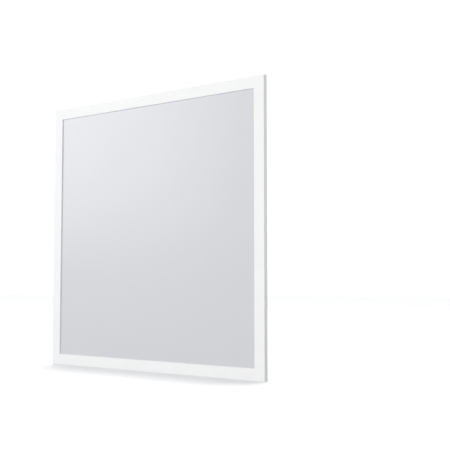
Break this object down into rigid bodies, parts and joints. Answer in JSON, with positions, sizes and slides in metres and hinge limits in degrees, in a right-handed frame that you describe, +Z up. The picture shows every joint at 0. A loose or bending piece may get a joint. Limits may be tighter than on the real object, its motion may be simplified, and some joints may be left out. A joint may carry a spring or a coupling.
{
  "type": "led panel light",
  "caption": "Square recessed LED ceiling panel: opal diffuser in a slim white frame, with a pressed back tray over the LED boards. Stands on its lower edge, lit face forward.",
  "frame": {"origin": "bottom centre of the panel's box: middle of the width and of the depth, at the lower edge of the frame", "axes": "+Y from the lit face to the back, +Z up along the panel's side, +X to the right as seen from the lit face"},
  "size_m": [0.595, 0.0376, 0.595],
  "materials": {
    "frame": "matte",
    "key": "satin",
    "diffuser": "satin",
    "foam": "matte",
    "tray": "satin",
    "board": "satin",
    "tape": "matte",
    "led": "gloss",
    "lens": "gloss",
    "connector": "gloss",
    "wire": "satin",
    "bushing": "satin"
  },
  "bodies": {
    "root": {"frame_rail_bottom": "frame", "frame_rail_left": "frame", "frame_rail_top": "frame", "frame_rail_right": "frame", "corner_key_1": "key", "corner_key_2": "key", "corner_key_3": "key", "corner_key_4": "key", "diffuser_plate": "diffuser", "foam_strip_bottom": "foam", "foam_strip_left": "foam", "foam_strip_top": "foam", "foam_strip_right": "foam", "back_tray": "tray", "led_board_1": "board", "led_board_2": "board", "led_board_3": "board", "led_board_4": "board", "led_board_5": "board", "led_board_6": "board", "board_tape_1": "tape", "board_tape_2": "tape", "board_tape_3": "tape", "board_tape_4": "tape", "board_tape_5": "tape", "board_tape_6": "tape", "led_chips_1": "led", "led_chips_2": "led", "led_chips_3": "led", "led_chips_4": "led", "led_chips_5": "led", "led_chips_6": "led", "led_lenses_1": "lens", "led_lenses_2": "lens", "led_lenses_3": "lens", "led_lenses_4": "lens", "led_lenses_5": "lens", "led_lenses_6": "lens", "board_connector_1": "connector", "board_connector_2": "connector", "board_connector_3": "connector", "board_connector_4": "connector", "board_connector_5": "connector", "board_connector_6": "connector", "jumper_lead_1": "wire", "jumper_lead_2": "wire", "jumper_lead_3": "wire", "jumper_lead_4": "wire", "jumper_lead_5": "wire", "cable_bushing": "bushing"}
  },
  "joints": []
}
